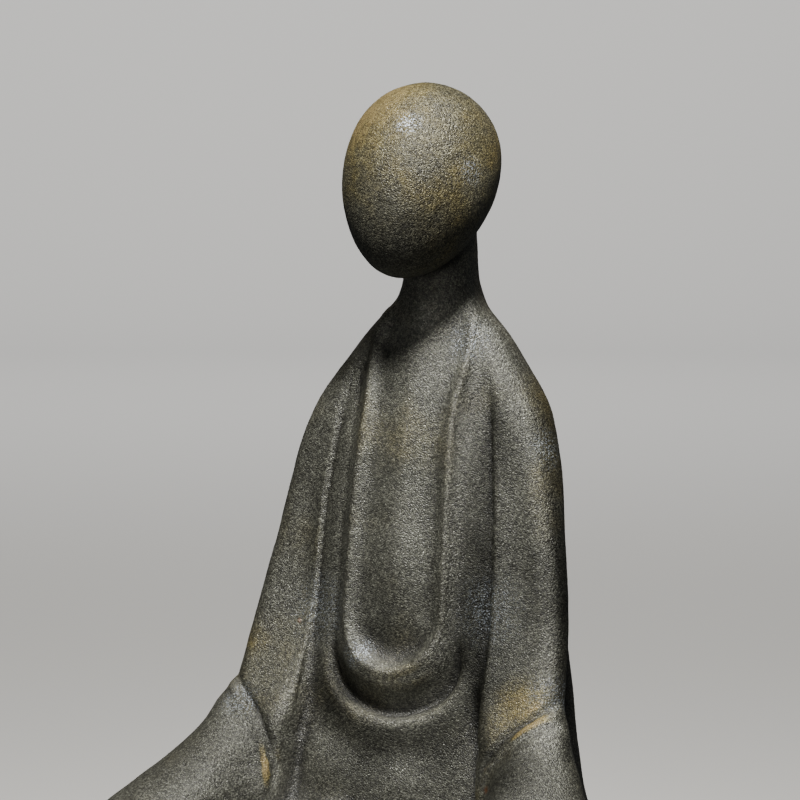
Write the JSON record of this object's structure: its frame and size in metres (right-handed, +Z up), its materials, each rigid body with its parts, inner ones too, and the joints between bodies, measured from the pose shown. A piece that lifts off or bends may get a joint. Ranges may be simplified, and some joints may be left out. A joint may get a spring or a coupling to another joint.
{
  "type": "seated buddha statue",
  "caption": "Seated robed figure with a plain egg-shaped head, hands in its lap, cast in one piece with a low base.",
  "frame": {"origin": "middle of the flat underside", "axes": "+Z up, figure facing -Y, its left side towards +X"},
  "size_m": [0.1928, 0.128, 0.2499],
  "materials": {
    "iron_glaze": "satin"
  },
  "bodies": {
    "root": {"figure": "iron_glaze"}
  },
  "joints": []
}
